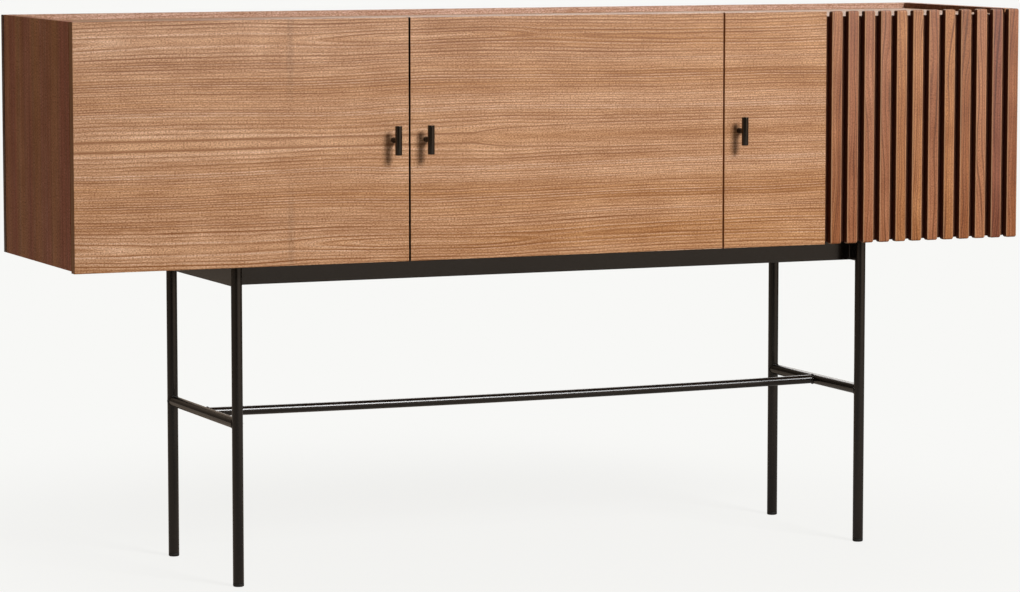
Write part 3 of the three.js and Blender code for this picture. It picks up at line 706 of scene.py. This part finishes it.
# %% [markdown]
# ## Skin of a grid
# The imported bars and feet are many-sided, which is enough to carry load but shows flat strips in close
# views. A round piece is a profile carried round an axis, or a ring carried along a path, so each new
# piece is a grid of points, worked out at once for all rings and all sides. One function skins such a
# grid, hangs the piece on its body and hides the imported nodes that it stands in for.

# %% Skin of a grid
SIDES = 64
SHARP = radians(40)  # edges that turn more than this stay crisp


def corners(name):
    """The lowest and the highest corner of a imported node, in metres, as two rows."""
    return np.array(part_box(name))


def skin(name, grids, body, finish, replaced=(), loop=False):
    """Makes one piece from grids of rings by sides. Each point is joined to the next on its ring and to
    the same side of the next ring. The ends of a grid are closed by fans to their middles, or a loop
    joins them."""
    points = np.zeros((0, 3))
    faces = []
    for grid in grids:
        rings, sides, _ = grid.shape
        start = len(points)
        side = np.arange(sides)
        after = (side + 1) % sides
        first = np.arange(rings if loop else rings - 1)[:, None] * sides
        second = (first + sides) % (rings * sides)
        quads = np.stack([first + side, first + after, second + after, second + side], axis=-1)
        faces += (start + quads.reshape(-1, 4)).tolist()
        if not loop:
            last = start + (rings - 1) * sides
            foot = np.full(sides, last + sides)
            faces += np.stack([foot, start + after, start + side], axis=1).tolist()
            faces += np.stack([foot + 1, last + side, last + after], axis=1).tolist()
        ends = grid[[0, -1]].mean(axis=1)[: 0 if loop else 2]
        points = np.concatenate([points, grid.reshape(-1, 3), ends])
    mesh = bpy.data.meshes.new(name)
    mesh.from_pydata(points.tolist(), [], faces)
    mesh.shade_smooth()
    mesh.set_sharp_from_angle(angle=SHARP)
    mesh.materials.append(finish)
    piece = bpy.data.objects.new(name, mesh)
    bpy.context.scene.collection.objects.link(piece)
    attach(piece, body)
    if replaced:
        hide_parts(*replaced)


print("round pieces have", SIDES, "sides")

# %% [markdown]
# ## Slats with soft ends
# The slats are planed with rounded edges and their ends are sanded round, so that they do not splinter. A
# bevel on a box could do it, but here each is a rectangle with round corners carried up the slat, which
# shrinks at both ends along a quarter circle, so edges and ends can have their own radius.

# %% Slats with soft ends
EDGE_ROUND = 2.8  # millimetres
END_ROUND = 3.8


def soft_bar(low, high, steps=7):
    """Rings of a bar with soft ends. A ring's points are a corner's middle plus the corner's radius times
    cosine and sine. Towards an end the radius shrinks with the sine of the bend, and the corners move in."""
    edge = EDGE_ROUND * MM
    end = END_ROUND * MM
    half = (high - low) / 2
    middle = (low + high) / 2
    turn = ((np.linspace(0, 1, steps) + np.arange(4)[:, None]) * pi / 2).ravel()
    quarter = np.repeat(np.arange(4), steps)
    corner = np.stack([np.where(quarter % 3 == 0, 1, -1), np.where(quarter < 2, 1, -1)], axis=1)
    bend = np.linspace(0, pi / 2, steps)
    size = np.concatenate([np.sin(bend), np.sin(bend)[::-1]])[:, None]
    rise = end * (1 - np.cos(bend))
    height = np.concatenate([low[2] + rise, high[2] - rise[::-1]])[:, None]
    pulled = (end - edge) * (1 - size)
    x = corner[:, 0] * (half[0] - edge - pulled) + edge * size * np.cos(turn)
    y = corner[:, 1] * (half[1] - edge) + edge * size * np.sin(turn)
    return np.stack([middle[0] + x, middle[1] + y, height + 0 * x], axis=-1)


for part in subparts:
    name = part["node"]
    if name.startswith("slat_"):
        grid = soft_bar(*corners(name))
        wood = nodes[name].data.materials[0]
        skin("soft_" + name, [grid], "right_door", wood, [name])
print(len(SLAT_ORDER), "slats with edges of", EDGE_ROUND, "mm")

# %% [markdown]
# ## Legs and feet
# Each leg is a 19 mm steel tube, and a plastic foot is pressed into its lower end, with a chamfer where
# it meets the floor. Both are profiles carried round an upright axis. The tube's profile runs up outside
# and down inside, so its skin is a loop and the wall shows at the ends.

# %% Legs and feet
TUBE_RADIUS = 9.5  # these are millimetres
TUBE_WALL = 1.5
TUBE_EASE = 0.4
FOOT_CHAMFER = 1.5
FOOT_HEIGHT = 6.0
PLUG_RADIUS = 7.7
PLUG_HEIGHT = 18.0
steel = finishes["black_steel"]
plastic = finishes["glide_plastic"]


def turned(profile, foot, axis, sides=SIDES):
    """Carries a profile round an axis. A profile row is a height along the axis and a radius in
    millimetres. Each point is the foot plus the height along the axis, plus the radius times cosine and
    sine across it."""
    axis = np.array(axis, float)
    across = np.array([0.0, 0.0, 1.0]) if abs(axis[2]) < 0.5 else np.array([1.0, 0.0, 0.0])
    beside = np.cross(axis, across)
    angle = np.linspace(0, 2 * pi, sides, endpoint=False)[None, :, None]
    height, radius = (np.array(profile) * MM).T[:, :, None, None]
    return np.array(foot) + height * axis + radius * (np.cos(angle) * across + np.sin(angle) * beside)


def eased(height, radius, ease, steps=6):
    """Profile rows of a rod with rounded rims, from the foot up: quarter circles of the ease at both
    ends."""
    bend = np.linspace(0, pi / 2, steps)
    rim = np.stack([ease * (1 - np.cos(bend)), radius - ease + ease * np.sin(bend)], axis=1)
    top = np.stack([height - rim[::-1, 0], rim[::-1, 1]], axis=1)
    inner = max(radius - 2 * ease, 0.1 * radius)
    return np.concatenate([[[0, inner]], rim, top, [[height, inner]]])


FOOT_PROFILE = [
    [0, TUBE_RADIUS - 2 * FOOT_CHAMFER],
    [0, TUBE_RADIUS - FOOT_CHAMFER],
    [0.35 * FOOT_CHAMFER, TUBE_RADIUS - 0.35 * FOOT_CHAMFER],
    [FOOT_CHAMFER, TUBE_RADIUS],
    [FOOT_HEIGHT, TUBE_RADIUS],
    [FOOT_HEIGHT, PLUG_RADIUS],
    [FOOT_HEIGHT + PLUG_HEIGHT, PLUG_RADIUS],
]
for corner in ("front_left", "front_right", "rear_left", "rear_right"):
    low, high = corners(corner + "_leg")
    middle = (low + high) / 2
    length = (high[2] - low[2]) / MM
    bore = TUBE_RADIUS - TUBE_WALL
    tube = np.concatenate([eased(length, TUBE_RADIUS, TUBE_EASE)[1:-1], [[length, bore], [0, bore]]])
    grid = turned(tube, (middle[0], middle[1], low[2]), (0, 0, 1))
    skin(corner + "_tube", [grid], "cabinet", steel, [corner + "_leg"], loop=True)
    grid = turned(FOOT_PROFILE, (middle[0], middle[1], 0), (0, 0, 1))
    skin(corner + "_foot", [grid], "cabinet", plastic, [corner + "_glide"])
print("legs of", round(length, 1), "mm")

# %% [markdown]
# ## Stretchers
# Each side stretcher is a tube between two legs, and the long stretcher a thinner rod between the side
# stretchers, which hangs a little in the middle. A welder saws each end hollow, so that it fits round the
# tube that it meets. So the last ring does not lie in a plane: each of its points stops where it reaches
# the other tube.

# %% Stretchers
ROD_RADIUS = 8.0  # these are millimetres
ROD_SAG = 3.5
FIT_GAP = 0.3
UPRIGHT = np.array([0.0, 0.0, 1.0])
FORWARD = np.array([0.0, 1.0, 0.0])
# Seen from the other end the angles run the other way round, from level on the other side
FLIP = (SIDES // 2 - np.arange(SIDES)) % SIDES


def around(axis, sides=SIDES):
    """Unit vectors out from an axis that lies level: cosine times level plus sine times upright."""
    angle = np.linspace(0, 2 * pi, sides, endpoint=False)[:, None]
    return np.cos(angle) * np.cross(UPRIGHT, axis) + np.sin(angle) * UPRIGHT


def hollow(middle, axis, other_axis, radius, sides=SIDES):
    """Where the skin of a rod meets a tube whose axis passes through the middle. A point lies off that
    axis by its part across both, and stands back from it by the root of the tube's radius squared less
    that squared."""
    out = radius * around(axis, sides)
    off = out @ np.cross(axis, other_axis)
    back = np.sqrt((TUBE_RADIUS + FIT_GAP) ** 2 - off**2)
    return middle + MM * (back[:, None] * axis + out)


def coped(start, end, other_axis, radius, sag=0.0):
    """A rod between two tubes: from a small ring at the first one's skin out to the rod's skin, along the
    rod, and back in at the second. The middle line sinks by four times the sag times the share gone and
    to go."""
    axis = (end - start) / np.linalg.norm(end - start)
    shares = np.linspace(0.2, 1, 5)
    first = [hollow(start, axis, other_axis, share * radius) for share in shares]
    last = [hollow(end, -axis, other_axis, share * radius)[FLIP] for share in shares[::-1]]
    gone = np.linspace(0.02, 0.98, 25)[:, None]
    line = start + gone * (end - start) - 4 * sag * MM * gone * (1 - gone) * UPRIGHT
    along = line[:, None, :] + MM * radius * around(axis)
    return np.concatenate([first, along, last])


_, long_y, stretcher_level = corners("long_stretcher").mean(axis=0)
leg_axis = {}
for side in ("left", "right"):
    for row in ("front", "rear"):
        leg_axis[row, side] = corners(f"{row}_{side}_leg").mean(axis=0)
        leg_axis[row, side][2] = stretcher_level
    grid = coped(leg_axis["front", side], leg_axis["rear", side], UPRIGHT, TUBE_RADIUS)
    skin(side + "_side_bar", [grid], "cabinet", steel, [side + "_stretcher"])
long_ends = [leg_axis["front", side] * [1, 0, 1] + [0, long_y, 0] for side in ("left", "right")]
grid = coped(*long_ends, FORWARD, ROD_RADIUS, ROD_SAG)
skin("long_bar", [grid], "cabinet", steel, ["long_stretcher"])
print("stretchers at", round(stretcher_level, 3), "m")

# %% [markdown]
# ## Round welds
# Where a stretcher meets a tube, the welder leaves a narrow bead, which shows through the paint. It
# follows the same hollow curve as the stretcher's end, as a ring of small circles, with fine ripples from
# the welder's steps.

# %% Round welds
BEAD = 1.7  # millimetres: the radius of a bead
RIPPLES = 28
RIPPLE_DEPTH = 0.12  # as a share of the radius
WELD_STEPS = 168
LEVEL = np.array([1.0, 0.0, 0.0])


def bead(middle, axis, other_axis, radius):
    """A closed ring of small circles along the hollow curve. A circle's points are its middle plus the
    bead's radius times cosine along the way out of the rod, less sine along the rod's axis."""
    curve = hollow(middle, axis, other_axis, radius, WELD_STEPS)
    out = around(axis, WELD_STEPS)
    step = np.linspace(0, 2 * pi, WELD_STEPS, endpoint=False)
    size = BEAD * MM * (1 + RIPPLE_DEPTH * np.cos(RIPPLES * step))[:, None, None]
    angle = np.linspace(0, 2 * pi, 12, endpoint=False)[None, :, None]
    return curve[:, None, :] + size * (np.cos(angle) * out[:, None, :] - np.sin(angle) * axis)


beads = []
for (row, side), middle in leg_axis.items():
    beads.append(bead(middle, FORWARD if row == "front" else -FORWARD, UPRIGHT, TUBE_RADIUS))
beads.append(bead(long_ends[0], LEVEL, FORWARD, ROD_RADIUS))
beads.append(bead(long_ends[1], -LEVEL, FORWARD, ROD_RADIUS))
skin("stretcher_welds", beads, "cabinet", steel, loop=True)
print(len(beads), "round welds")

# %% [markdown]
# ## Straight welds
# Along the rails the bead is a short upright rib in each corner: beside the legs, where the side rails
# end, and beside the side rails, where the long rails end. A rib is a thin rod with rounded ends, half
# sunk in the corner.

# %% Straight welds
RAIL_HALF = 4.0  # millimetres from a rail's middle to its faces
RIB_SIDES = 16
RIB_MARGIN = 1.5  # millimetres that a rib stops short of the rail's edges

low, high = corners("left_side_rail")
rib = eased((high[2] - low[2]) / MM - 2 * RIB_MARGIN, BEAD, 0.9 * BEAD)
reach = (TUBE_RADIUS**2 - RAIL_HALF**2) ** 0.5 * MM
rib_places = []
for (row, side), middle in leg_axis.items():
    inwards = reach if row == "front" else -reach
    rib_places += [(middle[0] + face * RAIL_HALF * MM, middle[1] + inwards) for face in (-1, 1)]
for rail, web in (("front_long_rail", 0), ("rear_long_rail", 1)):
    box = corners(rail)
    outer = box[web, 1]
    inner = outer + (1 - 2 * web) * 2 * RAIL_HALF * MM
    rib_places += [(end, face) for end in box[:, 0] for face in (outer, inner)]
ribs = [turned(rib, (x, y, low[2] + RIB_MARGIN * MM), (0, 0, 1), RIB_SIDES) for x, y in rib_places]
skin("rail_welds", ribs, "cabinet", steel)
print(len(ribs), "straight welds")

# %% [markdown]
# ## Handles
# Each door has a short upright bar on a round post. The bar is a turned stick with rounded rims, and the
# post a shorter one that runs from the door into it.

# %% Handles
BAR_EASE = 0.8  # millimetres
POST_EASE = 0.3
DOORS = ("left", "middle", "right")
blackened = finishes["handle_black"]

for side in DOORS:
    door = side + "_door"
    low, high = corners(side + "_handle_bar")
    middle = (low + high) / 2
    profile = eased((high[2] - low[2]) / MM, (high[0] - low[0]) / 2 / MM, BAR_EASE)
    grid = turned(profile, (middle[0], middle[1], low[2]), (0, 0, 1))
    skin(side + "_pull", [grid], door, blackened, [side + "_handle_bar"])
    low, high = corners(side + "_handle_post")
    middle = (low + high) / 2
    profile = eased((high[1] - low[1]) / MM, (high[2] - low[2]) / 2 / MM, POST_EASE)
    grid = turned(profile, (middle[0], low[1], middle[2]), (0, 1, 0))
    skin(side + "_pull_post", [grid], door, steel, [side + "_handle_post"])
print("handles on", DOORS)

# %% [markdown]
# ## Screws
# Small round-headed screws with a hexagon socket hold the hinges, the handles and the frame. A head is a
# low dome carried round its axis, whose last two rings are pulled in to a hexagon for the socket. Threads
# are inside the wood, so only heads are made.

# %% Screw heads
HEAD_SIDES = 24
SOCKET = 0.36  # of the head's radius
plated = finishes["plated_steel"]


def screw_head(seat, axis, radius, height):
    """Rings of a quarter ellipse from the seat up, then the socket's rim and floor. On those two the
    radius is divided by the cosine of the angle from the middle of the nearest flat, which makes a
    hexagon."""
    bend = np.linspace(0, 0.42 * pi, 6)
    dome = np.stack([height * np.sin(bend), radius * np.cos(bend) ** 0.6], axis=1)
    socket = SOCKET * radius
    grid = turned([*dome, (height, socket), (0.3 * height, socket)], seat, axis, HEAD_SIDES)
    angle = np.linspace(0, 2 * pi, HEAD_SIDES, endpoint=False)
    hexagon = 1 / np.cos(angle % (pi / 3) - pi / 6)
    middle = grid[-2:].mean(axis=1, keepdims=True)
    grid[-2:] = middle + (grid[-2:] - middle) * hexagon[:, None] * np.cos(pi / 6)
    return grid


print("screw heads have", HEAD_SIDES, "sides")

# %% [markdown]
# ## Hinge screws and handle bolts
# Two screws go through each hinge arm into the end or divider, and two through each cup's wings, or the
# plate on the slatted door, into the door. A bolt from inside the door holds each handle's post.

# %% Hinge screws and handle bolts
ARM_SCREW = (3.6, 1.6)  # radius and height of a head, as all here in millimetres
DOOR_SCREW = (3.0, 1.4)
HANDLE_BOLT = (5.0, 2.4)
ARM_PLATE = 2.5  # thickness of an arm where its screws sit
ARM_SCREW_INSET = 22.0  # from the arm's rear end
ARM_SCREW_RISE = 14.0  # either way from the arm's middle
DOOR_SCREW_RISE = 22.6
PLATE_REAR = -169.8  # the rear face of the plates on the slatted door
BACKWARDS = (0, 1, 0)

arm_screws = []
for side in DOORS:
    door_screws = []
    for level in ("lower", "upper"):
        low, high = corners(f"{side}_{level}_hinge_arm")
        middle_z = (low[2] + high[2]) / 2
        carrier = low[0] if side == "left" else high[0]
        facing = 1 if side == "left" else -1
        for rise in (-ARM_SCREW_RISE, ARM_SCREW_RISE):
            place = (carrier + facing * ARM_PLATE * MM, high[1] - ARM_SCREW_INSET * MM, middle_z + rise * MM)
            arm_screws.append(screw_head(place, (facing, 0, 0), *ARM_SCREW))
        holder = "plate" if side == "right" else "cup"
        low, high = corners(f"{side}_{level}_hinge_{holder}")
        rear = PLATE_REAR * MM if side == "right" else high[1]
        for rise in (-DOOR_SCREW_RISE, DOOR_SCREW_RISE):
            place = ((low[0] + high[0]) / 2, rear, middle_z + rise * MM)
            door_screws.append(screw_head(place, BACKWARDS, *DOOR_SCREW))
    skin(side + "_door_screws", door_screws, side + "_door", plated)
    post_x, _, post_z = corners(side + "_handle_post").mean(axis=0)
    door_rear = corners(side + "_door_panel")[1, 1]
    bolt = screw_head((post_x, door_rear, post_z), BACKWARDS, *HANDLE_BOLT)
    skin(side + "_handle_bolt", [bolt], side + "_door", plated)
skin("arm_screws", arm_screws, "cabinet", plated)
print(len(arm_screws), "arm screws")

# %% [markdown]
# ## Frame screws
# The long rails have three tabs each, and a screw goes up through each tab into the bottom board.

# %% Frame screws
TAB_SCREW = (5.5, 2.8)  # radius and height, as all here in millimetres
TAB_THICKNESS = 4.0
TAB_PLACES = (-397.2, 0.0, 397.2)  # along the rails
TAB_ROWS = (-90.0, 141.0)  # from front to back
DOWNWARDS = (0, 0, -1)

tab_under = corners("front_long_rail")[1, 2] - TAB_THICKNESS * MM
seats = [(x * MM, y * MM, tab_under) for y in TAB_ROWS for x in TAB_PLACES]
tab_screws = [screw_head(seat, DOWNWARDS, *TAB_SCREW) for seat in seats]
skin("tab_screws", tab_screws, "cabinet", plated)
print(len(tab_screws), "tab screws")

# %% [markdown]
# ## Door bumpers
# Each door has two soft bumpers on its back, beside the free edge, which meet the front edges of the top
# and bottom boards and quieten the door. A bumper is a low dome carried round its axis.

# %% Door bumpers
BUMPER_RADIUS = 4.2  # millimetres
BUMPER_HEIGHT = 1.8

bend = np.linspace(0, 0.48 * pi, 8)
dome = np.stack([BUMPER_HEIGHT * np.sin(bend), BUMPER_RADIUS * np.cos(bend) ** 0.7], axis=1)
board_levels = [corners(board)[:, 2].mean() for board in ("bottom_board", "top_board")]
for side in DOORS:
    post_x = corners(side + "_handle_post")[:, 0].mean()
    door_rear = corners(side + "_door_panel")[1, 1]
    bumpers = [turned(dome, (post_x, door_rear, level), BACKWARDS, 32) for level in board_levels]
    skin(side + "_bumpers", bumpers, side + "_door", plastic)
print("bumpers at", [round(level, 3) for level in board_levels], "m")
